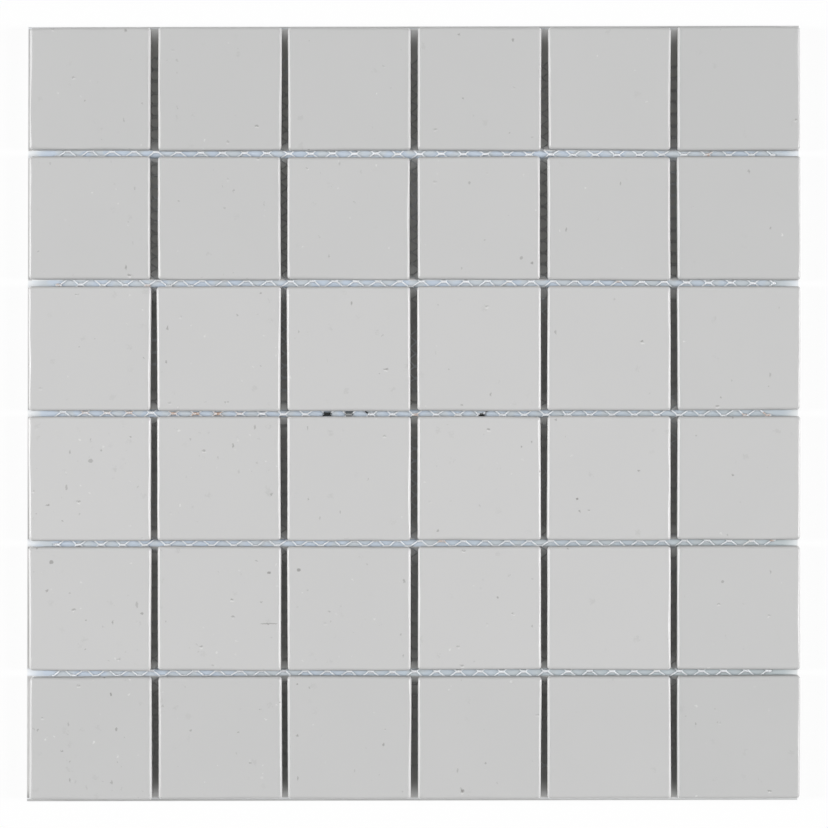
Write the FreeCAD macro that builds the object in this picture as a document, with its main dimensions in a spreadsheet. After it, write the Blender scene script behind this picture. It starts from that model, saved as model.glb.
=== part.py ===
import FreeCAD, Part
import os

import Sketcher

# Mosaic tile sheet: square glazed tiles in rows and columns, held at even open joints by
# one knitted net that is glued to their backs.
# Frame: +Z points out of the glazed faces, +X runs along a row, +Y points to row 1.
# Origin: the middle of the sheet, on the underside of the net.

# Driving sizes: name, value in millimetres or as a count, and what it is
DRIVING_SIZES = [
    ("tile_side", "48.2", "side of one square tile"),
    ("tile_thickness", "6.0", "from the back of a tile to its glazed face"),
    ("corner_radius", "1.4", "rounding of the four corners of a tile, seen from above"),
    ("glaze_radius", "1.2", "rounding between the glazed face and the sides"),
    ("foot_chamfer", "0.5", "chamfer around the back of a tile"),
    ("tile_columns", "6", "tiles in a row"),
    ("tile_rows", "6", "rows of tiles"),
    ("joint_width", "2.6", "open joint between two tiles"),
    ("net_thickness", "0.5", "net, with the glue that fills it behind the tiles"),
    ("net_margin", "9.0", "from the outer edge of the tiles in to the edge of the net"),
    ("bar_length", "2.1", "bar of the net, from corner to corner of a cell"),
    ("bar_width", "0.9", "width of a bar, where two yarns are knitted together"),
    ("rib_run", "2.2", "slanted rib of the net, measured along X"),
    ("rib_rise", "2.3", "slanted rib of the net, measured along Y"),
    ("rib_width", "0.6", "width of a rib, which is a single yarn"),
]

NEAR = 1e-4  # a millimetre distance below which two heights are the same
FIRST_HALF = 10.0  # half the square of the sketch, in millimetres, until its sizes are bound
LARGEST_RIM = 0.9  # largest glaze_radius, as a share of corner_radius
SPARE_BARS = 2  # bars of a yarn beyond the net's edge, which the edge then cuts off


def add_sizes(doc):
    """Spreadsheet that holds every driving size under its name."""
    sheet = doc.addObject("Spreadsheet::Sheet", "Sizes")
    for line, (name, value, meaning) in enumerate(DRIVING_SIZES, start=1):
        sheet.set(f"A{line}", value)
        sheet.setAlias(f"A{line}", name)
        sheet.set(f"B{line}", meaning)
    doc.recompute()
    return sheet


# Tiles

def origin_plane(body, role):
    """One of a body's own origin planes."""
    for feature in body.Origin.OriginFeatures:
        if feature.Role == role:
            return feature
    raise ValueError(f"{body.Label} has no origin plane {role}")


def add_square_sketch(body):
    """Outline of a tile's back: a square centred on the body's origin."""
    sketch = body.newObject("Sketcher::SketchObject", "Outline")
    sketch.AttachmentSupport = [(origin_plane(body, "XY_Plane"), "")]
    sketch.MapMode = "FlatFace"
    half = FIRST_HALF
    corners = [(-half, -half), (half, -half), (half, half), (-half, half)]
    for (x0, y0), (x1, y1) in zip(corners, corners[1:] + corners[:1]):
        start = FreeCAD.Vector(x0, y0, 0)
        end = FreeCAD.Vector(x1, y1, 0)
        sketch.addGeometry(Part.LineSegment(start, end))
    for side in range(4):
        sketch.addConstraint(Sketcher.Constraint("Coincident", side, 2, (side + 1) % 4, 1))
    for side in (0, 2):
        sketch.addConstraint(Sketcher.Constraint("Horizontal", side))
    for side in (1, 3):
        sketch.addConstraint(Sketcher.Constraint("Vertical", side))
    sketch.addConstraint(Sketcher.Constraint("Symmetric", 0, 1, 2, 1, -1, 1))
    width = sketch.addConstraint(Sketcher.Constraint("DistanceX", 0, 1, 0, 2, 2 * half))
    depth = sketch.addConstraint(Sketcher.Constraint("DistanceY", 1, 1, 1, 2, 2 * half))
    sketch.setExpression(f"Constraints[{width}]", "Sizes.tile_side")
    sketch.setExpression(f"Constraints[{depth}]", "Sizes.tile_side")
    return sketch


def edge_names(shape, low, high):
    """Names of the edges whose lowest and highest points are at these two heights."""
    names = []
    for number, edge in enumerate(shape.Edges, start=1):
        box = edge.BoundBox
        if abs(box.ZMin - low) < NEAR and abs(box.ZMax - high) < NEAR:
            names.append(f"Edge{number}")
    return names


def add_edge_feature(doc, body, kind, name, base, edges, size_property, expression):
    """Fillet or chamfer on the named edges of the feature before it."""
    feature = body.newObject(kind, name)
    feature.Base = (base, edges)
    feature.setExpression(size_property, expression)
    doc.recompute()
    return feature


def add_tile(doc, sizes, row, column):
    """One tile: a square slab with rounded corners, a rounded glazed rim and a chamfered foot."""
    name = f"tile_r{row}_c{column}"
    body = doc.addObject("PartDesign::Body", name)
    body.Label = name

    slab = body.newObject("PartDesign::Pad", "Slab")
    slab.Profile = add_square_sketch(body)
    slab.setExpression("Length", "Sizes.tile_thickness")
    doc.recompute()

    top = sizes.tile_thickness
    upright = edge_names(slab.Shape, 0, top)
    corners = add_edge_feature(
        doc, body, "PartDesign::Fillet", "Corners", slab, upright,
        "Radius", "Sizes.corner_radius")
    rim = add_edge_feature(
        doc, body, "PartDesign::Fillet", "Rim", corners, edge_names(corners.Shape, top, top),
        "Radius", f"min(Sizes.glaze_radius; {LARGEST_RIM} * Sizes.corner_radius)")
    add_edge_feature(
        doc, body, "PartDesign::Chamfer", "Foot", rim, edge_names(rim.Shape, 0, 0),
        "Size", "Sizes.foot_chamfer")

    pitch = "(Sizes.tile_side + Sizes.joint_width)"
    body.setExpression("Placement.Base.x", f"({column} - (Sizes.tile_columns + 1) / 2) * {pitch}")
    body.setExpression("Placement.Base.y", f"((Sizes.tile_rows + 1) / 2 - {row}) * {pitch}")
    body.setExpression("Placement.Base.z", "Sizes.net_thickness")
    return body


# Net
# The net is a honeycomb of six-sided cells. Its bars run along X at levels one rib_rise
# apart, and the bars of an odd level stand halfway between those of an even one. A yarn
# runs along X and swings between a level and the next one up, so it is half of each bar.
# The net is one knitted piece. Its source is cut into bands, each with one joint between
# rows in its middle, along the centre line of a yarn behind the middle of a row of tiles.

def joint_middles(count, sizes):
    """Middles of the joints between this many tiles, along one axis."""
    pitch = sizes.tile_side + sizes.joint_width
    return [(number - count / 2) * pitch for number in range(1, count)]


def half_net(count, sizes):
    """Half the net's size along the axis that has this many tiles."""
    tiles_and_joints = count * sizes.tile_side + (count - 1) * sizes.joint_width
    return tiles_and_joints / 2 - sizes.net_margin


def yarn_line(level, half_width, sizes):
    """Centre line of the yarn above this level, from the net's left edge to its right."""
    step = sizes.bar_length + sizes.rib_run
    reach = int(half_width / step) + SPARE_BARS
    corners = []
    for bar in range(-reach, reach + 1):
        height = (level + (bar - level) % 2) * sizes.rib_rise
        for end in (-sizes.bar_length / 2, sizes.bar_length / 2):
            corners.append((bar * step + end, height))

    line = []
    for (x0, y0), (x1, y1) in zip(corners, corners[1:]):
        for edge in (-half_width, half_width):
            if x0 <= edge < x1:
                line.append((edge, y0 + (y1 - y0) * (edge - x0) / (x1 - x0)))
        if -half_width < x1 < half_width:
            line.append((x1, y1))
    return line


def cell_opening(sizes):
    """Corners of a cell's opening about its middle, clockwise: the cell less half its strands."""
    rib_length = (sizes.rib_run ** 2 + sizes.rib_rise ** 2) ** 0.5
    half_height = sizes.rib_rise - sizes.bar_width / 2
    tip = sizes.bar_length / 2 + sizes.rib_run - sizes.rib_width / 2 * rib_length / sizes.rib_rise
    shoulder = tip - half_height * sizes.rib_run / sizes.rib_rise
    return [
        (-tip, 0), (-shoulder, half_height), (shoulder, half_height),
        (tip, 0), (shoulder, -half_height), (-shoulder, -half_height),
    ]


def wire_of(points):
    """Closed outline through the points, in the plane of the net's underside."""
    corners = [FreeCAD.Vector(x, y, 0) for x, y in points]
    return Part.makePolygon(corners + corners[:1])


def open_cells(levels, sizes):
    """Openings of the cells at these levels that a joint shows. Glue fills all the others."""
    opening = cell_opening(sizes)
    half_width = max(x for x, y in opening)
    half_height = max(y for x, y in opening)
    net_width = half_net(sizes.tile_columns, sizes) - sizes.rib_width
    net_height = half_net(sizes.tile_rows, sizes) - sizes.rib_width
    joints_x = joint_middles(sizes.tile_columns, sizes)
    joints_y = joint_middles(sizes.tile_rows, sizes)
    step = sizes.bar_length + sizes.rib_run
    reach = int(net_width / step)

    cells = []
    for level in levels:
        y = level * sizes.rib_rise
        for place in range(-reach, reach + 1):
            x = place * step
            is_bar = (place - level) % 2 == 0
            outside = abs(x) + half_width > net_width or abs(y) + half_height > net_height
            if is_bar or outside:
                continue
            beside = any(abs(x - joint) < sizes.joint_width / 2 + half_width for joint in joints_x)
            across = any(abs(y - joint) < sizes.joint_width / 2 + half_height for joint in joints_y)
            if beside or across:
                cells.append(wire_of([(x + dx, y + dy) for dx, dy in opening]))
    return cells


def add_net_band(doc, sizes, number):
    """Band of the net about the joint between one row of tiles and the next, from row 1 down."""
    half_width = half_net(sizes.tile_columns, sizes)
    half_height = half_net(sizes.tile_rows, sizes)
    pitch = sizes.tile_side + sizes.joint_width
    last_level = int(half_height / sizes.rib_rise)

    middle = joint_middles(sizes.tile_rows, sizes)[-number]
    if number == 1:
        top = last_level
        upper = [(-half_width, half_height), (half_width, half_height)]
    else:
        top = round((middle + pitch / 2) / sizes.rib_rise - 0.5)
        upper = yarn_line(top, half_width, sizes)
    if number == sizes.tile_rows - 1:
        bottom = -last_level - 1
        lower = [(-half_width, -half_height), (half_width, -half_height)]
    else:
        bottom = round((middle - pitch / 2) / sizes.rib_rise - 0.5)
        lower = yarn_line(bottom, half_width, sizes)

    name = f"net_band_{number}"
    pattern = doc.addObject("Part::Feature", name + "_pattern")
    cells = open_cells(range(bottom + 1, top + 1), sizes)
    pattern.Shape = Part.Face([wire_of(lower + upper[::-1])] + cells)

    band = doc.addObject("Part::Extrusion", name)
    band.Label = name
    band.Base = pattern
    band.DirMode = "Custom"
    band.Dir = FreeCAD.Vector(0, 0, 1)
    band.Solid = True
    band.setExpression("LengthFwd", "Sizes.net_thickness")
    doc.recompute()
    return band


# Checks and files

def check(doc, parts):
    """Stop when an object of the document failed or a part is not one sound solid."""
    for item in doc.Objects:
        if "Invalid" in item.State or "Error" in item.State:
            raise RuntimeError(f"{item.Label} was not made: {item.State}")
    for part in parts:
        if part.Shape.isNull() or not part.Shape.isValid() or len(part.Shape.Solids) != 1:
            raise RuntimeError(f"{part.Label} is not one sound solid")


def main():
    doc = FreeCAD.newDocument("mosaic_tile_sheet")
    sizes = add_sizes(doc)
    parts = []
    for row in range(1, int(sizes.tile_rows) + 1):
        for column in range(1, int(sizes.tile_columns) + 1):
            parts.append(add_tile(doc, sizes, row, column))
    for number in range(1, int(sizes.tile_rows)):
        parts.append(add_net_band(doc, sizes, number))
    doc.recompute()
    check(doc, parts)

    os.makedirs("parts", exist_ok=True)
    for part in parts:
        part.Shape.exportStep(f"parts/{part.Label}.step")
        print(part.Label, round(part.Shape.Volume, 2), "mm3,", len(part.Shape.Faces), "faces")


main()
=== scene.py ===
import math

import bpy
import numpy as np
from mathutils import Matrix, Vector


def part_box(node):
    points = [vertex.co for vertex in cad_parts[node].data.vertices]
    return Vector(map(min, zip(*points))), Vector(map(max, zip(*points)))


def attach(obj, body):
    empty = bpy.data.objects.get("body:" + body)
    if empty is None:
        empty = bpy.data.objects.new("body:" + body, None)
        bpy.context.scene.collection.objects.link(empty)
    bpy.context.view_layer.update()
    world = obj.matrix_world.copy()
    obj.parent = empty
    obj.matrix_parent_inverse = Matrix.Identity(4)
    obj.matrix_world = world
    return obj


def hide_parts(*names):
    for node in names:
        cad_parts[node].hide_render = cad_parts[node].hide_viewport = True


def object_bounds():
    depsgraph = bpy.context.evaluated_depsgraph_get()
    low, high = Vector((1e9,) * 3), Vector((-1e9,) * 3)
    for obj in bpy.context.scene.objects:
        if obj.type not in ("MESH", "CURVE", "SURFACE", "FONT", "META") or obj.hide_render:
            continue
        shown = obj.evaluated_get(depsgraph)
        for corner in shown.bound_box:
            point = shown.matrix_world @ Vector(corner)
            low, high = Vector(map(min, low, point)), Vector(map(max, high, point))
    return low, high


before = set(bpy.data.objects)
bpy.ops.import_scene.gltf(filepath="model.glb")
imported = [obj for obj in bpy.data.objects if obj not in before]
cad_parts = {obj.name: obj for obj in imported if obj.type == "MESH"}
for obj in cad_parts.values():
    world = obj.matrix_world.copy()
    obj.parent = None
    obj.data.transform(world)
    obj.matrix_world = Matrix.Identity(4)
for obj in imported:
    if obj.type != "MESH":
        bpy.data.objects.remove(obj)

cad_low, cad_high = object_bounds()

MM = 0.001
IMAGE_PIXELS = 828


# Sizes read from the frame

def grid_names():
    """Names of the tile nodes as a dict from (row, column), both counted from 1."""
    names = {}
    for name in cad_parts:
        if name.startswith("tile_r"):
            row, column = name[len("tile_r"):].split("_c")
            names[int(row), int(column)] = name
    return names


TILES = grid_names()
ROWS = max(row for row, column in TILES)
COLUMNS = max(column for row, column in TILES)
BANDS = sorted(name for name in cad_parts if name.startswith("net_band_"))

first_low, first_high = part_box(TILES[1, 1])
next_low, next_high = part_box(TILES[2, 1])
TILE_SIDE = first_high.x - first_low.x
TILE_BACK = first_low.z
TILE_FACE = first_high.z
PITCH = first_low.y - next_low.y
JOINT = PITCH - TILE_SIDE
NET_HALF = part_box(BANDS[0])[1].x
NET_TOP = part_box(BANDS[0])[1].z
SHEET_HALF = cad_high.x


# Tiles: sizes in metres

CORNER_RADIUS = 1.4 * MM
RIM_RADIUS = 1.4 * MM
FOOT_CHAMFER = 0.5 * MM
SHARPEST_CORNER = 0.2 * MM   # of the rings inside the corner's own radius
CORNER_DRIFT = 0.24 * MM     # how far a fired tile's corner strays from the square
EDGE_BOW = 0.06 * MM         # how far the middle of an edge strays
RIM_SPREAD = 0.28            # largest share by which the rim's radius changes along the edge
RIM_WAVE = 28 * MM           # length over which it changes
FACE_DIP = 0.03 * MM         # depth of the glaze's slow waves
FACE_WAVE = 30 * MM
FACE_NEAR = 0.01 * MM        # points this near the face belong to it
WAVES = 5                    # waves that are added up to a slow one
CORNER_STEPS = 5
SIDE_STEPS = 14
RIM_STEPS = 6
FACE_INSETS = (2.0 * MM, 4.5 * MM, 8.5 * MM, 13.5 * MM, 18.5 * MM)
SHARP_EDGE = math.radians(40)

# How far each tile's left, right, lower and upper edges stray from the even square, in
# millimetres, to the right and up. A line is a row of tiles, from row 1 at the top.
TILE_STRAYS = [
    [(0.84, -0.27, 0.06, -0.12), (0.39, 0.18, 0.06, 0.12), (0.21, -0.08, -0.10, -0.14),
     (0.33, 0.16, -0.02, 0.14), (0.45, 0.14, 0.25, -0.08), (0.18, -0.08, -0.10, 0.20)],
    [(0.64, -0.14, 0.16, 0.43), (0.14, 0.02, 0.21, 0.04), (-0.16, -0.47, 0.21, 0.00),
     (0.16, -0.31, 0.33, 0.21), (0.21, 0.10, 0.08, 0.31), (0.10, 0.39, 0.08, 0.43)],
    [(0.31, -0.10, -0.39, 0.33), (-0.23, 0.02, -0.45, 0.16), (-0.18, -0.14, -0.43, -0.06),
     (0.08, 0.23, -0.37, 0.29), (0.00, 0.10, -0.23, 0.33), (0.12, 0.20, 0.02, 0.18)],
    [(0.35, -0.12, -0.63, 0.06), (-0.12, -0.21, -0.33, -0.06), (0.02, -0.14, -0.23, 0.18),
     (0.00, -0.02, -0.06, 0.29), (0.06, 0.02, -0.02, 0.20), (0.21, 0.39, 0.27, 0.16)],
    [(0.45, 0.06, -0.45, -0.20), (-0.12, 0.20, -0.43, 0.06), (0.00, 0.06, -0.45, -0.06),
     (0.18, 0.41, 0.00, 0.04), (-0.18, 0.25, 0.14, 0.29), (0.04, -0.10, 0.14, 0.39)],
    [(0.68, 0.29, -0.10, -0.16), (0.35, 0.35, 0.19, -0.12), (0.08, 0.21, 0.23, 0.04),
     (0.33, 0.25, 0.29, 0.06), (0.25, 0.16, 0.31, 0.35), (-0.02, -0.16, 0.65, 0.35)],
]

# Tone of each tile's glaze, from 0 for the darkest to 1 for the lightest. The tones by row and the
# last column's are painted light and shade: lighter in the middle rows, darker in the top and
# bottom rows and in the last column.
ROW_PAINTED_LIGHT_AND_SHADE = (0.15, 0.40, 0.85, 0.95, 0.80, 0.25)
LAST_COLUMN_PAINTED_SHADE = -0.40    # added in the last column, as painted shade
SHADE_SPREAD = 0.12          # strays from tile to tile by this much


# Net: sizes in metres

BAR_LENGTH = 2.1 * MM
RIB_RUN = 2.2 * MM
BAR_STEP = BAR_LENGTH + RIB_RUN
LEVELS_PER_PITCH = 22        # levels of bars from one joint between rows to the next
RIB_RISE = PITCH / LEVELS_PER_PITCH
LAST_LEVEL = int(NET_HALF / RIB_RISE)
LAST_BAR = int(NET_HALF / BAR_STEP) + 2    # past the net's edge, which cuts it off
RIB_HALF_WIDTH = 0.26 * MM   # half width of a yarn in a rib
BAR_HALF_WIDTH = 0.36 * MM   # and in a bar, where it is looped round its neighbour
YARN_HALF_HEIGHT = 0.15 * MM
YARN_SECTION = [(1.0, -0.5), (0.75, 1.0), (-0.75, 1.0), (-1.0, -0.5), (0.0, -1.0)]
YARN_SIDES = len(YARN_SECTION)
TWIST_SIDE = 0.34 * MM       # sideways swing of a yarn about the middle of its bar
TWIST_RISE = 0.09 * MM
TWIST_TURNS = 2              # turns of the two yarns of a bar about each other
BAR_JITTER = 0.14 * MM
BAR_SAMPLES = 9
NET_FRAY = 0.4 * MM          # how far a yarn's end may fall short of the net's edge

# How the net was pulled when it was glued: stretched along X, and moved along X by NET_STRAY at
# NET_PLACES. NET_PULL gives for each joint between rows, from the top down and in millimetres,
# the shift of its bars along X, and how far the bars of an even level lie above the joint's own
# middle at NET_PLACES.
NET_STRETCH = 1.0045
NET_PLACES = (-133 * MM, -64 * MM, 5 * MM, 74 * MM, 126 * MM)
NET_STRAY = (0.15 * MM, 0.55 * MM, 0.0 * MM, -0.20 * MM, 0.70 * MM)
NET_PULL = [
    (2.16, (1.52, 0.52, 0.33, -0.11, -0.11)),
    (2.94, (2.04, 1.23, 1.13, 1.11, 0.42)),
    (0.20, (0.49, -0.21, -0.50, -0.55, -0.79)),
    (2.16, (1.68, 1.17, 0.88, 0.82, 1.05)),
    (0.12, (0.81, 0.58, 0.22, 0.50, 0.69)),
]


# From here on, a name with RAMP in it holds where a smooth step begins and where it ends, and then
# what it gives at each of them, which is 0 and 1 if left out.


# Spots: place in X and Y, half length and half width, all in millimetres, and strength, 0 to 1

SPOT_WAVER = 1.0 * MM        # how uneven the edge of a spot is
SPOT_RAMP = (1.1, 0.75)      # from the edge inwards, where 1 is the half length or half width

# The glaze's strongest marks. The first is a scratch.
GLAZE_MARKS = [
    (-56.7, -82.2, 3.6, 0.22, 0.80),
    (-141.8, -58.1, 0.8, 0.8, 0.75),
    (-45.0, -61.2, 0.8, 0.7, 0.85),
    (-126.4, -18.5, 1.1, 0.8, 0.55),
    (-135.9, -28.9, 0.5, 1.2, 0.50),
    (-108.3, -74.8, 0.6, 1.3, 0.45),
    (-106.3, -78.2, 0.7, 0.5, 0.70),
    (-118.5, -109.7, 0.4, 0.7, 0.90),
    (-116.4, -123.5, 0.5, 0.8, 0.70),
    (-143.1, -35.8, 0.8, 0.4, 0.70),
    (-56.7, -62.3, 0.8, 0.4, 0.90),
    (46.1, 58.9, 0.8, 0.5, 0.75),
    (42.0, 60.8, 0.7, 0.7, 0.55),
    (38.7, 146.0, 0.4, 0.8, 0.70),
    (63.9, -33.4, 0.6, 0.4, 1.0),
    (18.9, -147.5, 0.7, 0.5, 1.0),
    (120.6, -65.7, 0.6, 0.6, 0.60),
]
# Dirt on the net, and on the floor that shows through it, in the third joint from the top
YARN_DIRT = [
    (-34.2, -0.5, 2.2, 1.6, 1.0),
    (-25.6, 0.0, 1.9, 1.4, 0.60),
    (-18.7, 0.6, 0.8, 0.9, 1.0),
    (26.8, -0.7, 1.5, 0.7, 1.0),
    (28.9, 0.5, 1.0, 1.2, 0.75),
]
FLOOR_DIRT = [
    (-34.0, 0.0, 2.0, 1.3, 0.45),
    (-25.6, 0.0, 1.9, 1.5, 0.80),
    (27.0, -0.6, 1.6, 0.8, 0.45),
]
# Rusty tint on bars of the net
YARN_RUST = [
    (-139.3, 50.6, 2.0, 1.0, 0.45),
    (-104.3, 50.1, 1.6, 0.8, 0.35),
    (-129.0, 0.5, 2.2, 1.0, 0.40),
    (-120.1, 0.4, 2.0, 1.0, 0.25),
    (-111.9, 0.3, 2.2, 1.0, 0.45),
    (-94.3, 0.1, 2.2, 1.1, 0.75),
    (-85.8, 0.0, 2.0, 1.1, 0.70),
    (-77.1, -0.1, 2.2, 1.2, 0.75),
    (-68.7, 0.1, 1.8, 0.9, 0.45),
    (0.6, -0.5, 1.8, 0.9, 0.50),
    (129.6, -0.6, 1.2, 0.8, 0.60),
    (138.6, 0.0, 1.8, 1.2, 0.90),
    (116.0, 101.7, 1.8, 0.9, 0.65),
    (80.0, 52.0, 1.6, 0.8, 0.40),
    (140.6, -49.7, 1.2, 0.7, 0.60),
    (11.0, -50.0, 2.4, 1.3, 0.45),
]
# Where the net between columns gets no painted shade
YARN_UNSHADED = [(0.0, 21.0, 2.0, 13.0, 1.0)]


# Glaze

GLAZE_DARKEST = (0.581, 0.583, 0.581, 1)
GLAZE_LIGHTEST = (0.652, 0.650, 0.648, 1)
GLAZE_GRAIN = (0.45, 0.45, 0.44, 1)
# Dark of the glaze's specks and marks; in the sunk specks it is partly painted shade
GLAZE_PIT = (0.28, 0.275, 0.265, 1)
# Painted glint beside the dashes, and painted highlight on the beads
GLAZE_GLINT = (0.84, 0.84, 0.83, 1)
GLAZE_SMUDGE = (0.38, 0.38, 0.37, 1)
BARE_BODY = (0.70, 0.685, 0.655, 1)
CLOUD_SHARE = 0.3            # of the tone, and the tile's own tone, with its painted light and shade, is the rest
GRAIN_SHARE = 0.07
SMUDGE_SHARE = 0.20
GLINT_SHARE = 0.56
PIT_SHARE = 0.66
MARK_SHARE = 0.85
SATIN_RAMP = (TILE_FACE - 0.18 * MM, TILE_FACE - 0.06 * MM, 0.31, 0.60)    # roughness by height
BARE_ROUGHNESS = 0.85
BARE_RAMP = (TILE_BACK + 0.75 * MM, TILE_BACK + 0.55 * MM)    # by height, less the drips
DRIP_DEPTH = 1.2 * MM
PEEL_RELIEF = 0.16
BEAD_RELIEF = 0.7
BARE_RELIEF = 1.5
GLAZE_IOR = 1.5
GLAZE_SPECULAR = 0.3

# How many specks there are: more at the left and in the lower half, and in flocks
LEFT_RAMP = (NET_HALF * 0.4, -NET_HALF, 0.28, 1.0)
LOWER_RAMP = (NET_HALF * 0.5, -NET_HALF * 0.3, 0.55, 1.10)
FLOCK_RAMP = (0.42, 0.58, 0.14, 1.0)

# Kinds of speck: shift of their pattern, its squeeze, size of a cell, which holds one speck at
# most, and radius of a speck
WIDE, TALL, EVEN = (0.42, 1.0, 1.0), (1.0, 0.42, 1.0), (1.0, 1.0, 1.0)
# dash_glint is a painted glint beside each dash, and a bead's light colour is a painted highlight;
# the dark kinds are partly painted shade in their pits
SPECK_KINDS = {
    "dash": ((0.0, 0.0, 0.0), WIDE, 4.2 * MM, 0.50 * MM),
    "dash_glint": ((0.0, 0.75 * MM, 0.0), WIDE, 4.2 * MM, 0.45 * MM),
    "nick": ((0.2, 0.5, 0.6), TALL, 4.2 * MM, 0.50 * MM),
    "pit": ((0.5, 0.9, 0.1), EVEN, 4.6 * MM, 0.60 * MM),
    "bead": ((0.7, 0.4, 0.3), EVEN, 4.8 * MM, 0.60 * MM),
    "smudge": ((0.3, 0.1, 0.2), EVEN, 6.0 * MM, 1.5 * MM),
}
SPECK_WAVER = 3              # how uneven the edge of a speck is, in radii
SPECK_CORE = 0.4             # how far out a speck has its full strength, in radii


# Yarn

# Bluish white: the yarn's white with a painted bluish tint of the light in the joints
YARN_DARKEST = (0.88, 0.91, 0.95, 1)
YARN_LIGHTEST = (0.96, 0.98, 1.0, 1)
YARN_WARM = (0.86, 0.78, 0.64, 1)
YARN_RUSTY = (0.60, 0.39, 0.27, 1)
YARN_PAINTED_SHADE = (0.56, 0.56, 0.55, 1)    # painted shade on the net between columns
YARN_DIRTY = (0.010, 0.012, 0.012, 1)
WARM_SHARE = 0.20
WARM_RAMP = (0.60, 0.72)
MOTTLE_RAMP = (0.42, 0.58, 0.30, 1.1)             # how uneven the rust is
IN_COLUMN_JOINT_RAMP = (JOINT * 0.9, JOINT * 0.6)
OFF_ROW_JOINT_RAMP = (JOINT * 0.7, JOINT * 1.3)
SHADE_PATCH_RAMP = (0.60, 0.50, 0.25, 0.85)             # how patchy the painted shade is
YARN_ROUGHNESS = 0.45


# Floor

FLOOR_HALF = 3.0
FLOOR_WHITE = (0.95, 0.95, 0.95, 1)
FLOOR_BLUE = (0.590, 0.662, 0.755, 1)        # in the joints between rows: the floor's pale colour with a painted bluish tint of the light there
FLOOR_PALE = (0.615, 0.660, 0.700, 1)        # there too, under glue
FLOOR_LOWER_RIGHT = (0.525, 0.575, 0.590, 1)        # and darker and greyer towards the lower right
FLOOR_PAINTED_LIGHT = (0.95, 0.95, 0.94, 1)           # painted light in the joints between columns, by a crossing
FLOOR_PAINTED_SHADE = (0.67, 0.67, 0.66, 1)            # and painted shade away from it
FLOOR_PAINTED_SHADE_UPPER = (0.82, 0.82, 0.80, 1)      # the same painted shade, lighter in the upper rows
FLOOR_DIRTY = (0.035, 0.042, 0.045, 1)
FLOOR_PAINTED_SHADOW = (0.57, 0.57, 0.57, 1)           # painted shadow beside the sheet
FLOOR_PAINTED_SHADOW_FOOT = (0.72, 0.72, 0.72, 1)      # lighter painted shadow beside its last row
FLOOR_PAINTED_SHADOW_LOWER = (0.49, 0.49, 0.49, 1)     # darker painted shadow below it

# Where each of those colours takes over, by distance from the sheet's middle. LOWER_RIGHT_RAMP goes
# by X less Y.
UNDER_RAMP = (SHEET_HALF + 5.04 * MM, SHEET_HALF - 6.96 * MM)
LOWER_RIGHT_RAMP = (-SHEET_HALF * 0.3, SHEET_HALF * 2.0)
UPPER_RAMP = (PITCH * 0.7, PITCH * 1.2)
LAST_ROW_RAMP = (-PITCH * 1.8, -PITCH * 2.2)
LOWER_SHADOW_RAMP = (-SHEET_HALF * 0.97, -SHEET_HALF)
SHADOW_X_RAMP = (SHEET_HALF - 1.2 * MM, SHEET_HALF - 1.1 * MM)
SHADOW_Y_RAMP = (SHEET_HALF + 0.3 * MM, SHEET_HALF + 0.4 * MM)
# and by distance from the middle of the nearest joint between rows
IN_ROW_JOINT_RAMP = (JOINT * 0.64, JOINT * 0.5)
OFF_CROSSING_RAMP = (JOINT * 1.2, PITCH * 0.2)
BY_TILE_RAMP = (JOINT * 0.5, JOINT * 0.6)
# and by noise
GLUE_RAMP = (0.42, 0.62)

# The edge at which the floor's painted shadow round the sheet ends, across X and across Y: by how
# much the painted shadow is wider on the low side, and its width. The edge leans a little, because
# the sheet isn't quite square.
CUT_EDGES = ((0.44 * MM, -0.05 * MM), (0.03 * MM, 0.70 * MM))
CUT_LEAN = 0.002
CUT_RAMP = (0.0, 0.4 * MM)

# Share of plain white in what the camera sees of the floor: round the sheet, and, as painted light,
# at the open ends of the joints between columns, which are within the sheet, and where these joints
# meet the joints between rows
OPEN_GLOW = 0.92
END_PAINTED_LIGHT_RAMP = (SHEET_HALF - 7.0 * MM, SHEET_HALF + 7.0 * MM, 0.0, 0.40)
WITHIN_RAMP = (SHEET_HALF + 0.1 * MM, SHEET_HALF - 0.1 * MM)
CROSSING_PAINTED_LIGHT_RAMP = (JOINT * 1.7, JOINT * 0.5, 0.0, 0.07)


# Light and camera

LAMPS = (("lamp_left", -1, 0.05), ("lamp_right", 1, -0.10))    # name, side, and place along Y
LAMP_DISTANCE = 4.0
LAMP_ELEVATION = math.radians(24)
LAMP_LENGTH = 0.60
LAMP_HEIGHT = 2.0
AMBIENT = 0.20               # light from all around, where 1 lights a white sheet to white
LAMP_LIGHT = 0.80            # light from the two lamps together, on the same scale
WHITE = (1, 1, 1, 1)

CAMERA_HEIGHT = 1.40
SENSOR_WIDTH = 36.0          # in millimetres, as the lens
CLIP_START = 0.01
PHOTO_PITCH_PIXELS = 129.96  # from tile to tile in the photograph
PHOTO_CENTRE = (414.0, 413.45)


# Meshes

def mesh_object(name, vertices, faces, attributes=()):
    """Mesh object in the frame of the CAD, smooth shaded, with float attributes on its vertices."""
    mesh = bpy.data.meshes.new(name)
    mesh.from_pydata(vertices.tolist(), [], faces)
    for attribute_name, values in attributes:
        attribute = mesh.attributes.new(attribute_name, "FLOAT", "POINT")
        attribute.data.foreach_set("value", np.asarray(values, np.float32))
    mesh.validate()
    mesh.shade_smooth()
    thing = bpy.data.objects.new(name, mesh)
    bpy.context.scene.collection.objects.link(thing)
    return thing


def strips(ring_count, count):
    """Faces between each closed ring of this many points and the next ring."""
    faces = []
    for ring in range(ring_count - 1):
        start = ring * count
        for point in range(count):
            after = (point + 1) % count
            faces.append((start + point, start + after,
                          start + count + after, start + count + point))
    return faces


# Tiles

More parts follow.
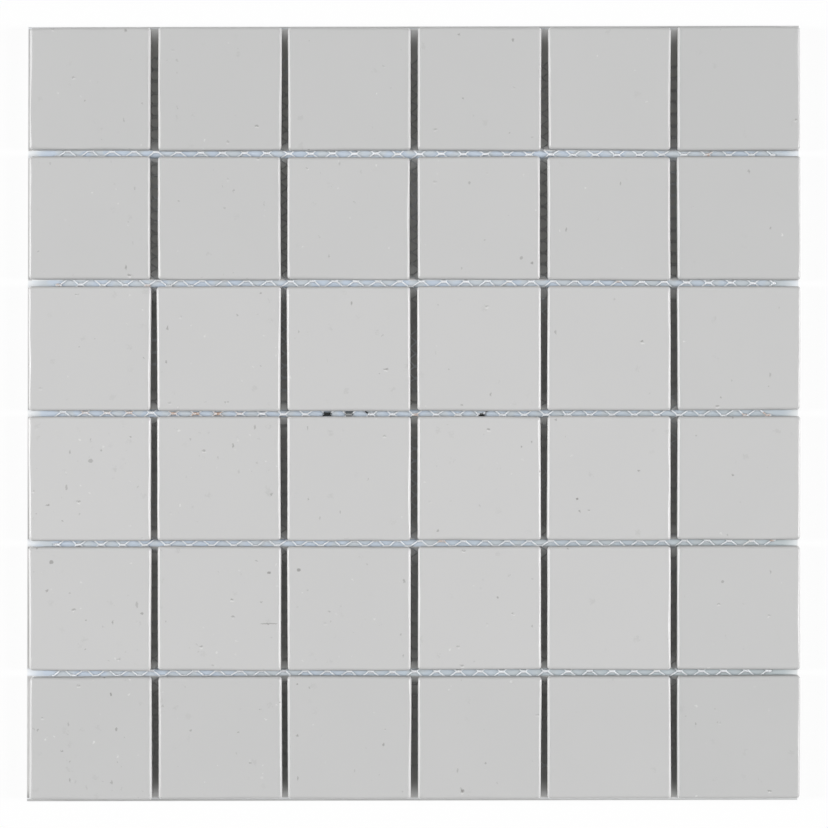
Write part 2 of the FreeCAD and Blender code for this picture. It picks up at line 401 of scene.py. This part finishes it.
def square_ring(half, radius):
    """Points of a rounded square about the origin, counter-clockwise, always the same count."""
    points = []
    reach = (half - radius) * math.sqrt(2)
    length = 2 * (half - radius)
    for corner in range(4):
        turn = corner * math.pi / 2
        middle = turn + math.pi / 4
        for step in range(CORNER_STEPS + 1):
            angle = turn + step / CORNER_STEPS * math.pi / 2
            points.append((
                reach * math.cos(middle) + radius * math.cos(angle),
                reach * math.sin(middle) + radius * math.sin(angle)))
        start = points[-1]
        along = (-math.sin(turn + math.pi / 2), math.cos(turn + math.pi / 2))
        for step in range(1, SIDE_STEPS):
            share = step / SIDE_STEPS * length
            points.append((start[0] + along[0] * share, start[1] + along[1] * share))
    return np.array(points)


def slow_wave(places, random, amplitude, length):
    """Smooth random heights at places given as columns of coordinates, a few waves added up."""
    heights = np.zeros(len(places))
    for _ in range(WAVES):
        heading = random.uniform(0, 2 * math.pi)
        stretch = random.uniform(0.7, 1.6) * length
        phase = random.uniform(0, 2 * math.pi)
        along = places[:, 0] * math.cos(heading) + places[:, 1] * math.sin(heading)
        heights += np.sin(along / stretch * 2 * math.pi + phase)
    return amplitude * heights / WAVES


def tile_profile():
    """Rings of a tile from its back up: inset and height in metres, and whether in the rim."""
    rings = [(FOOT_CHAMFER, TILE_BACK, False), (0, TILE_BACK + FOOT_CHAMFER, False)]
    for step in range(RIM_STEPS + 1):
        angle = step / RIM_STEPS * math.pi / 2
        inset = RIM_RADIUS * (1 - math.cos(angle))
        rings.append((inset, TILE_FACE - RIM_RADIUS * (1 - math.sin(angle)), True))
    for inset in FACE_INSETS:
        rings.append((inset, TILE_FACE, False))
    return rings


def tile_rings(plan, rim_scale):
    """Points of a tile about its own middle, ring by ring, from its back to its face's middle."""
    rings = []
    for inset, height, is_rim in tile_profile():
        ring = square_ring(TILE_SIDE / 2 - inset, max(CORNER_RADIUS - inset, SHARPEST_CORNER))
        if is_rim:
            outward = plan - ring
            length = np.linalg.norm(outward, axis=1, keepdims=True)
            direction = np.divide(outward, length, out=np.zeros_like(outward), where=length > 0)
            ring = plan - direction * (inset * rim_scale)[:, None]
            height = TILE_FACE - (TILE_FACE - height) * rim_scale
        rings.append(np.column_stack([ring, np.broadcast_to(height, len(ring))]))
    rings.append(np.array([[0, 0, TILE_FACE]]))
    return rings


def tile_faces(ring_count, count):
    """Faces of a tile: its back, the strips up to its last ring, and a fan to its middle."""
    last = (ring_count - 1) * count
    fan = [(last + point, last + (point + 1) % count, last + count) for point in range(count)]
    return [list(range(count))[::-1]] + strips(ring_count, count) + fan


def strayed(points, corners, bows):
    """Points of the ideal square, moved as the tile's four corners and four edges strayed."""
    half = TILE_SIDE / 2
    u = (points[:, 0] / half + 1) / 2
    v = (points[:, 1] / half + 1) / 2
    weights = np.stack([(1 - u) * (1 - v), u * (1 - v), u * v, (1 - u) * v], axis=1)
    moved = points[:, :2] + weights @ corners
    bulge_u = 4 * u * (1 - u)
    bulge_v = 4 * v * (1 - v)
    moved[:, 0] += bulge_v * (bows[0] * u + bows[1] * (1 - u))
    moved[:, 1] += bulge_u * (bows[2] * v + bows[3] * (1 - v))
    return moved


def make_tile(row, column, random):
    """One fired tile: a slab that strays a little from the square, with a soft wavy rim."""
    low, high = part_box(TILES[row, column])
    middle = np.array([(low.x + high.x) / 2, (low.y + high.y) / 2])
    corners = random.uniform(-CORNER_DRIFT, CORNER_DRIFT, (4, 2))
    bows = random.uniform(-EDGE_BOW, EDGE_BOW, 4)
    left, right, lower, upper = np.array(TILE_STRAYS[row - 1][column - 1]) * MM
    corners += [(left, lower), (right, lower), (right, upper), (left, upper)]

    plan = square_ring(TILE_SIDE / 2, CORNER_RADIUS)
    rim_scale = 1 + slow_wave(plan, random, RIM_SPREAD, RIM_WAVE)
    face_random = np.random.RandomState(random.randint(1 << 30))

    rings = tile_rings(plan, rim_scale)
    vertices = np.concatenate(rings)
    is_face = vertices[:, 2] > TILE_FACE - FACE_NEAR
    dips = slow_wave(vertices, face_random, FACE_DIP, FACE_WAVE) - FACE_DIP
    vertices[is_face, 2] += dips[is_face]
    vertices[:, :2] = middle + strayed(vertices, corners, bows)
    vertices[:, 0] = np.clip(vertices[:, 0], cad_low.x, cad_high.x)
    vertices[:, 1] = np.clip(vertices[:, 1], cad_low.y, cad_high.y)

    # Painted light and shade by row and in the last column, and the glaze's own tone from tile to
    # tile
    shade = ROW_PAINTED_LIGHT_AND_SHADE[row - 1] + random.uniform(-SHADE_SPREAD, SHADE_SPREAD)
    if column == COLUMNS:
        shade += LAST_COLUMN_PAINTED_SHADE
    tile = mesh_object(f"glazed_tile_r{row}_c{column}", vertices,
                       tile_faces(len(rings) - 1, len(plan)),
                       [("shade", np.full(len(vertices), shade))])
    tile.data.set_sharp_from_angle(angle=SHARP_EDGE)
    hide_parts(TILES[row, column])
    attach(tile, "root")
    return tile


# Net
# The net is a honeycomb. Its bars run along X at levels one RIB_RISE apart. A yarn runs along X
# and swings between a level and the next one up, so that two yarns meet in each bar.

def pull_at(levels, x):
    """How far the net was pulled along X and along Y, at these levels and places along X."""
    joint_levels = [(ROWS / 2 - number) * LEVELS_PER_PITCH for number in range(ROWS - 1, 0, -1)]
    upwards = NET_PULL[::-1]
    shifts = np.array([shift for shift, at_places in upwards]) * MM
    heights = np.array([
        np.interp(x, NET_PLACES, np.array(at_places) * MM) for shift, at_places in upwards])
    along = np.interp(levels, joint_levels, range(len(joint_levels)))
    below = np.minimum(along.astype(int), len(joint_levels) - 2)
    share = along - below
    points = np.arange(len(x))
    shift = shifts[below] * (1 - share) + shifts[below + 1] * share
    height = heights[below, points] * (1 - share) + heights[below + 1, points] * share
    return shift + x * (NET_STRETCH - 1) + np.interp(x, NET_PLACES, NET_STRAY), height


def bar_jitters(random):
    """Small stray of every bar of the net, as dx, dy and change of length."""
    return random.uniform(-1, 1, (2 * LAST_LEVEL + 3, 2 * LAST_BAR + 3, 3)) * BAR_JITTER


def yarn_path(level, jitters):
    """Centre line of the yarn that swings between this level and the next, and its half widths."""
    points = []
    for bar in range(-LAST_BAR, LAST_BAR + 1):
        is_upper = (bar - level) % 2
        bar_level = level + is_upper
        dx, dy, stretch = jitters[bar_level + LAST_LEVEL + 1, bar + LAST_BAR + 1]
        side = -1 if is_upper else 1
        for sample in range(BAR_SAMPLES):
            share = sample / (BAR_SAMPLES - 1)
            x = bar * BAR_STEP + dx + (share - 0.5) * (BAR_LENGTH + stretch)
            turn = 2 * math.pi * TWIST_TURNS * share
            swing = side * math.cos(turn)
            rise = side * math.sin(turn)
            half_width = RIB_HALF_WIDTH if sample in (0, BAR_SAMPLES - 1) else BAR_HALF_WIDTH
            points.append((x, bar_level, dy + swing * TWIST_SIDE, rise * TWIST_RISE, half_width))
    x, bar_levels, sideways, rises, half_widths = np.array(points).T
    shift, height = pull_at(bar_levels, x)
    path = np.column_stack([
        x + shift, bar_levels * RIB_RISE + height + sideways, NET_TOP / 2 + rises])
    return path, half_widths


def yarn_tube(path, half_widths):
    """Vertices and faces of a flat yarn along a path: a closed tube with YARN_SIDES sides."""
    along = np.gradient(path, axis=0)
    along /= np.linalg.norm(along, axis=1, keepdims=True)
    side = np.column_stack([-along[:, 1], along[:, 0], np.zeros(len(path))])
    side /= np.linalg.norm(side, axis=1, keepdims=True)
    up = np.cross(along, side)
    rings = [
        path + side * (half_widths[:, None] * across) + up * (YARN_HALF_HEIGHT * rise)
        for across, rise in YARN_SECTION]
    vertices = np.stack(rings, axis=1).reshape(-1, 3)
    faces = strips(len(path), YARN_SIDES)
    faces.append(tuple(range(YARN_SIDES))[::-1])
    last = (len(path) - 1) * YARN_SIDES
    faces.append(tuple(last + corner for corner in range(YARN_SIDES)))
    return vertices, faces


def make_net():
    """The knitted net as yarns along X, in one piece for each band of the frame."""
    random = np.random.RandomState(11)
    jitters = bar_jitters(random)
    bands = [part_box(name) for name in BANDS]
    middles = [(low.y + high.y) / 2 for low, high in bands]
    parts = {name: ([], []) for name in BANDS}
    for level in range(-LAST_LEVEL, LAST_LEVEL):
        path, half_widths = yarn_path(level, jitters)
        left, right = abs(random.uniform(-NET_FRAY, NET_FRAY, 2))
        keep = (path[:, 0] > -NET_HALF + left) & (path[:, 0] < NET_HALF - right)
        path = path[keep]
        if abs(path[:, 1]).max() > NET_HALF:
            continue
        vertices, faces = yarn_tube(path, half_widths[keep])
        nearest = int(np.argmin([abs(middle - path[:, 1].mean()) for middle in middles]))
        stack, all_faces = parts[BANDS[nearest]]
        offset = sum(len(block) for block in stack)
        stack.append(vertices)
        all_faces.extend(tuple(index + offset for index in face) for face in faces)

    made = []
    for name, (stack, faces) in parts.items():
        net = mesh_object("knitted_" + name, np.concatenate(stack), faces)
        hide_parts(name)
        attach(net, "root")
        made.append(net)
    return made


# Shader nodes

def node_adder(tree):
    """Function that adds a node to an emptied tree, with settings, and inputs set or linked.

    An input goes by its name, with _ for a space, or by its number after a _.
    """
    tree.nodes.clear()

    def add(kind, settings=None, **inputs):
        node = tree.nodes.new(kind)
        for key, value in (settings or {}).items():
            setattr(node, key, value)
        for key, value in inputs.items():
            place = int(key[1:]) if key.startswith("_") else key.replace("_", " ")
            socket = node.inputs[place]
            if isinstance(value, bpy.types.NodeSocket):
                tree.links.new(value, socket)
            else:
                socket.default_value = value
        return node

    return add


def new_material(name):
    """Node material, and the function that adds its nodes."""
    material = bpy.data.materials.new(name)
    material.use_nodes = True
    return material, node_adder(material.node_tree)


def object_place(add):
    """Place on the object, and its X, Y and Z."""
    place = add("ShaderNodeTexCoord").outputs["Object"]
    parts = add("ShaderNodeSeparateXYZ", Vector=place).outputs
    return place, parts["X"], parts["Y"], parts["Z"]


def ramp(add, value, low, high, to_low=0.0, to_high=1.0):
    """Smooth step of a value from one number to another."""
    node = add("ShaderNodeMapRange", {"interpolation_type": "SMOOTHSTEP"}, Value=value,
               From_Min=low, From_Max=high, To_Min=to_low, To_Max=to_high)
    return node.outputs["Result"]


def mixed(add, factor, first, second):
    """Colour between two colours."""
    node = add("ShaderNodeMix", {"data_type": "RGBA"}, _0=factor, _6=first, _7=second)
    return node.outputs[2]


def arithmetic(add, operation, first, second=0.0, third=0.0):
    """Result of a Math node."""
    node = add("ShaderNodeMath", {"operation": operation}, _0=first, _1=second, _2=third)
    return node.outputs[0]


def product(add, first, *others):
    """All the values multiplied."""
    for other in others:
        first = arithmetic(add, "MULTIPLY", first, other)
    return first


def highest(add, first, *others):
    """The largest of the values."""
    for other in others:
        first = arithmetic(add, "MAXIMUM", first, other)
    return first


def vectors(add, operation, first, second, third=(0, 0, 0)):
    """Result of a Vector Math node."""
    node = add("ShaderNodeVectorMath", {"operation": operation}, _0=first, _1=second, _2=third)
    return node.outputs["Vector"]


def noise(add, place, scale, **settings):
    """Smooth noise between 0 and 1."""
    return add("ShaderNodeTexNoise", Vector=place, Scale=scale, **settings).outputs["Fac"]


def specks(add, place, share, shift, squeeze, cell, radius):
    """Scattered uneven specks, one for a share of the cells: how strong one is at a place."""
    waver = add("ShaderNodeTexNoise", Vector=place, Scale=1000.0).outputs["Color"]
    reach = SPECK_WAVER * radius
    moved = vectors(add, "MULTIPLY_ADD", waver, (reach, reach, reach), place)
    moved = vectors(add, "MULTIPLY_ADD", moved, squeeze, shift)
    cells = add("ShaderNodeTexVoronoi", Vector=moved, Scale=1 / cell)
    chance = add("ShaderNodeSeparateColor", Color=cells.outputs["Color"]).outputs["Red"]
    speck = ramp(add, cells.outputs["Distance"], radius / cell, radius / cell * SPECK_CORE)
    return product(add, speck, ramp(add, chance, arithmetic(add, "SUBTRACT", 1.0, share), 1.0))


def patches(add, place, spots):
    """How strong the worst of these spots is at a place. Their edges are uneven."""
    waver = add("ShaderNodeTexNoise", Vector=place, Scale=1300.0, Detail=2.0).outputs["Color"]
    moved = vectors(add, "MULTIPLY_ADD", waver, (SPOT_WAVER, SPOT_WAVER, 0), place)
    worst = 0.0
    for x, y, half_length, half_width, strength in spots:
        middle = (x * MM + SPOT_WAVER / 2, y * MM + SPOT_WAVER / 2, 0)
        offset = vectors(add, "SUBTRACT", moved, middle)
        scaled = vectors(add, "MULTIPLY", offset,
                         (1 / (half_length * MM), 1 / (half_width * MM), 0))
        away = add("ShaderNodeVectorMath", {"operation": "LENGTH"}, _0=scaled).outputs["Value"]
        worst = highest(add, product(add, ramp(add, away, *SPOT_RAMP), strength), worst)
    return worst


def off_joint(add, along, count):
    """Distance along X or Y from the middle of the nearest joint between columns or rows."""
    shifted = arithmetic(add, "ADD", along, count % 2 * PITCH / 2)
    return arithmetic(add, "PINGPONG", shifted, PITCH / 2)


# Materials

def glaze_material():
    """Light grey satin glaze with pits and specks, over a pale unglazed body at the foot. Its tone
    holds painted light and shade by row and column, and its specks painted shade and painted
    glints.
    """
    material, add = new_material("grey_glaze")
    place, x, y, height = object_place(add)

    clouds = noise(add, place, 28.0, Detail=3.0, Roughness=0.55)
    grain = noise(add, place, 1400.0, Detail=2.0, Roughness=0.6)
    # The tile's tone, which holds painted light and shade by row and column
    shade = add("ShaderNodeAttribute", {"attribute_name": "shade"}).outputs["Fac"]
    tone = arithmetic(add, "ADD", product(add, clouds, CLOUD_SHARE),
                      product(add, shade, 1 - CLOUD_SHARE))
    colour = mixed(add, tone, GLAZE_DARKEST, GLAZE_LIGHTEST)
    colour = mixed(add, product(add, grain, GRAIN_SHARE), colour, GLAZE_GRAIN)

    flock = ramp(add, noise(add, place, 75.0), *FLOCK_RAMP)
    share = product(add, ramp(add, x, *LEFT_RAMP), ramp(add, y, *LOWER_RAMP), flock)
    found = {kind: specks(add, place, share, *sizes) for kind, sizes in SPECK_KINDS.items()}
    dark = highest(add, found["dash"], found["nick"], found["pit"])
    painted_glints = highest(add, found["dash_glint"], found["bead"])
    marks = patches(add, place, GLAZE_MARKS)
    colour = mixed(add, product(add, found["smudge"], SMUDGE_SHARE), colour, GLAZE_SMUDGE)
    colour = mixed(add, product(add, painted_glints, GLINT_SHARE), colour, GLAZE_GLINT)
    colour = mixed(add, product(add, dark, PIT_SHARE), colour, GLAZE_PIT)
    colour = mixed(add, product(add, marks, MARK_SHARE), colour, GLAZE_PIT)

    drips = product(add, noise(add, place, 160.0, Detail=2.0), -DRIP_DEPTH)
    bare = ramp(add, arithmetic(add, "ADD", height, drips), *BARE_RAMP)
    colour = mixed(add, bare, colour, BARE_BODY)
    roughness = highest(add, ramp(add, height, *SATIN_RAMP),
                        ramp(add, bare, 0.0, 1.0, 0.0, BARE_ROUGHNESS))

    peel = noise(add, place, 420.0, Detail=2.0)
    relief = arithmetic(add, "SUBTRACT", product(add, peel, PEEL_RELIEF), dark)
    relief = arithmetic(add, "ADD", relief, product(add, found["bead"], BEAD_RELIEF))
    relief = arithmetic(add, "ADD", relief, product(add, grain, bare, BARE_RELIEF))
    bump = add("ShaderNodeBump", Height=relief, Strength=0.5, Distance=0.05 * MM)

    shader = add("ShaderNodeBsdfPrincipled", Base_Color=colour, Roughness=roughness,
                 Normal=bump.outputs["Normal"])
    shader.inputs["IOR"].default_value = GLAZE_IOR
    shader.inputs["Specular IOR Level"].default_value = GLAZE_SPECULAR
    add("ShaderNodeOutputMaterial", Surface=shader.outputs["BSDF"])
    return material


def yarn_material():
    """White knitted yarn, stiff with clear glue, with a painted bluish tint of the light, and
    painted shade between columns.
    """
    material, add = new_material("white_yarn")
    place, x, y, _ = object_place(add)
    fibres = noise(add, place, 2600.0, Detail=3.0, Roughness=0.7)
    colour = mixed(add, fibres, YARN_DARKEST, YARN_LIGHTEST)
    warm = ramp(add, noise(add, place, 90.0, Detail=2.0), *WARM_RAMP)
    colour = mixed(add, product(add, warm, WARM_SHARE), colour, YARN_WARM)
    mottle = ramp(add, noise(add, place, 1000.0, Detail=1.0), *MOTTLE_RAMP)
    rust = product(add, patches(add, place, YARN_RUST), mottle)
    colour = mixed(add, rust, colour, YARN_RUSTY)

    # Painted shade on the net in the joints between columns, patchy by noise
    off_row_joint = ramp(add, off_joint(add, y, ROWS), *OFF_ROW_JOINT_RAMP)
    in_column_joint = ramp(add, off_joint(add, x, COLUMNS), *IN_COLUMN_JOINT_RAMP)
    shade_patches = ramp(add, noise(add, place, 18.0), *SHADE_PATCH_RAMP)
    outside_unshaded = arithmetic(add, "SUBTRACT", 1.0, patches(add, place, YARN_UNSHADED))
    painted_shade_share = product(add, off_row_joint, in_column_joint, shade_patches, outside_unshaded)
    colour = mixed(add, painted_shade_share, colour, YARN_PAINTED_SHADE)
    colour = mixed(add, patches(add, place, YARN_DIRT), colour, YARN_DIRTY)

    bump = add("ShaderNodeBump", Height=fibres, Strength=0.35, Distance=0.04 * MM)
    shader = add("ShaderNodeBsdfPrincipled", Base_Color=colour, Normal=bump.outputs["Normal"])
    shader.inputs["Roughness"].default_value = YARN_ROUGHNESS
    add("ShaderNodeOutputMaterial", Surface=shader.outputs["BSDF"])
    return material


def open_floor_share(add, x, y):
    """1 on the floor round the sheet, past the edge where its painted shadow ends, and 0 inside it.
    """
    past_edge = []
    for along, across, (shift, margin) in zip((x, y), (y, x), CUT_EDGES):
        leant = arithmetic(add, "MULTIPLY_ADD", across, -CUT_LEAN, along)
        from_middle = arithmetic(add, "ABSOLUTE", arithmetic(add, "ADD", leant, shift))
        past_edge.append(arithmetic(add, "SUBTRACT", from_middle, SHEET_HALF + margin))
    return ramp(add, highest(add, *past_edge), *CUT_RAMP)


def joints_colour(add, place, x, y, off_row_joint, in_row_joint):
    """Colour of the floor that shows through the joints: pale blue with a painted bluish tint of
    the light in the lit joints between rows, and in the joints between columns painted light by a
    crossing and painted shade away from it.
    """
    glue = ramp(add, noise(add, place, 150.0, Detail=1.0), *GLUE_RAMP)
    blue = mixed(add, glue, FLOOR_BLUE, FLOOR_PALE)
    lower_right = ramp(add, arithmetic(add, "SUBTRACT", x, y), *LOWER_RIGHT_RAMP)
    blue = mixed(add, lower_right, blue, FLOOR_LOWER_RIGHT)
    # Painted shade in the joints between columns, and painted light by a crossing
    painted_shade = mixed(add, ramp(add, y, *UPPER_RAMP), FLOOR_PAINTED_SHADE, FLOOR_PAINTED_SHADE_UPPER)
    painted_light_and_shade = mixed(add, ramp(add, off_row_joint, *OFF_CROSSING_RAMP), FLOOR_PAINTED_LIGHT, painted_shade)
    colour = mixed(add, in_row_joint, painted_light_and_shade, blue)
    return mixed(add, patches(add, place, FLOOR_DIRT), colour, FLOOR_DIRTY)


def floor_material():
    """Pale floor, white to the camera round the sheet, with a painted shadow beside it, and under
    it pale blue in the lit joints, with painted light and shade in the joints.
    """
    material, add = new_material("pale_floor")
    place, x, y, _ = object_place(add)
    reach_x = arithmetic(add, "ABSOLUTE", x)
    reach_y = arithmetic(add, "ABSOLUTE", y)
    reach = highest(add, reach_x, reach_y)
    under = ramp(add, reach, *UNDER_RAMP)
    open_floor = open_floor_share(add, x, y)
    off_row_joint = off_joint(add, y, ROWS)
    in_row_joint = ramp(add, off_row_joint, *IN_ROW_JOINT_RAMP)

    # The painted shadow doesn't cross the open ends of the joints between rows
    beside_tile = product(add, ramp(add, off_row_joint, *BY_TILE_RAMP),
                          ramp(add, reach_x, *SHADOW_X_RAMP))
    painted_shadow = product(add, arithmetic(add, "SUBTRACT", 1.0, open_floor),
                   highest(add, beside_tile, ramp(add, reach_y, *SHADOW_Y_RAMP)))
    painted_shadow_colour = mixed(add, ramp(add, y, *LAST_ROW_RAMP), FLOOR_PAINTED_SHADOW, FLOOR_PAINTED_SHADOW_FOOT)
    painted_shadow_colour = mixed(add, ramp(add, y, *LOWER_SHADOW_RAMP), painted_shadow_colour, FLOOR_PAINTED_SHADOW_LOWER)

    shade = joints_colour(add, place, x, y, off_row_joint, in_row_joint)
    colour = mixed(add, under, FLOOR_WHITE, shade)
    colour = mixed(add, painted_shadow, colour, painted_shadow_colour)

    path = add("ShaderNodeLightPath").outputs
    seen = highest(add, path["Is Camera Ray"], path["Is Glossy Ray"],
                   path["Is Transmission Ray"])
    # Painted light: white glow on the floor at the open ends of the joints between columns and by
    # their crossings
    painted_light_at_ends = product(add, ramp(add, reach, *WITHIN_RAMP), ramp(add, reach_y, *END_PAINTED_LIGHT_RAMP))
    painted_light_by_crossings = product(add, arithmetic(add, "SUBTRACT", 1.0, in_row_joint),
                          ramp(add, off_row_joint, *CROSSING_PAINTED_LIGHT_RAMP), under)
    white_and_painted_light = arithmetic(add, "ADD", product(add, open_floor, OPEN_GLOW),
                        highest(add, painted_light_at_ends, painted_light_by_crossings))

    matte = add("ShaderNodeBsdfDiffuse", Color=colour)
    glow = add("ShaderNodeEmission", Color=WHITE, Strength=1.0)
    surface = add("ShaderNodeMixShader", _0=product(add, seen, white_and_painted_light), _1=matte.outputs[0],
                  _2=glow.outputs[0])
    add("ShaderNodeOutputMaterial", Surface=surface.outputs[0])
    return material


# Stage

def make_floor():
    """Wide floor under the sheet."""
    vertices = np.array([(-1, -1, 0), (1, -1, 0), (1, 1, 0), (-1, 1, 0)], float) * FLOOR_HALF
    floor = mesh_object("floor", vertices, [(0, 1, 2, 3)])
    floor.data.materials.append(floor_material())


def make_lamp(name, side, shift):
    """Strip lamp to one side of the sheet, along Y, that faces the sheet's middle.

    A lamp of P watts at distance d lights a white surface that faces it to P / (pi d) ** 2.
    """
    data = bpy.data.lights.new(name, "AREA")
    data.shape = "RECTANGLE"
    data.size = LAMP_HEIGHT
    data.size_y = LAMP_LENGTH
    per_lamp = LAMP_LIGHT / len(LAMPS) / math.sin(LAMP_ELEVATION)
    data.energy = per_lamp * (math.pi * LAMP_DISTANCE) ** 2
    lamp = bpy.data.objects.new(name, data)
    bpy.context.scene.collection.objects.link(lamp)
    lamp.location = (
        side * LAMP_DISTANCE * math.cos(LAMP_ELEVATION), shift,
        LAMP_DISTANCE * math.sin(LAMP_ELEVATION))
    lamp.rotation_euler = (0, side * (math.pi / 2 - LAMP_ELEVATION), 0)


def make_world():
    """Even soft light from all around, and plain white to the camera."""
    world = bpy.data.worlds.new("studio")
    world.use_nodes = True
    add = node_adder(world.node_tree)
    ambient = add("ShaderNodeBackground", Color=WHITE, Strength=AMBIENT)
    white = add("ShaderNodeBackground", Color=WHITE, Strength=1.0)
    path = add("ShaderNodeLightPath").outputs
    mix = add("ShaderNodeMixShader", _0=path["Is Camera Ray"], _1=ambient.outputs[0],
              _2=white.outputs[0])
    add("ShaderNodeOutputWorld", Surface=mix.outputs[0])
    bpy.context.scene.world = world


def make_camera():
    """Camera straight above the sheet, framed as the photograph."""
    metres_per_pixel = PITCH / PHOTO_PITCH_PIXELS
    field = metres_per_pixel * IMAGE_PIXELS
    data = bpy.data.cameras.new("camera")
    data.sensor_width = SENSOR_WIDTH
    data.lens = SENSOR_WIDTH * (CAMERA_HEIGHT - TILE_FACE) / field
    data.clip_start = CLIP_START
    camera = bpy.data.objects.new("camera", data)
    bpy.context.scene.collection.objects.link(camera)
    middle = IMAGE_PIXELS / 2
    camera.location = (
        (middle - PHOTO_CENTRE[0]) * metres_per_pixel,
        (PHOTO_CENTRE[1] - middle) * metres_per_pixel,
        CAMERA_HEIGHT)
    bpy.context.scene.camera = camera


make_camera()
make_world()
make_floor()
for lamp_name, lamp_side, lamp_shift in LAMPS:
    make_lamp(lamp_name, lamp_side, lamp_shift)

glaze = glaze_material()
tile_random = np.random.RandomState(7)
for tile_row, tile_column in sorted(TILES):
    make_tile(tile_row, tile_column, tile_random).data.materials.append(glaze)

yarn = yarn_material()
for net_piece in make_net():
    net_piece.data.materials.append(yarn)

bpy.context.scene.view_settings.view_transform = "Standard"
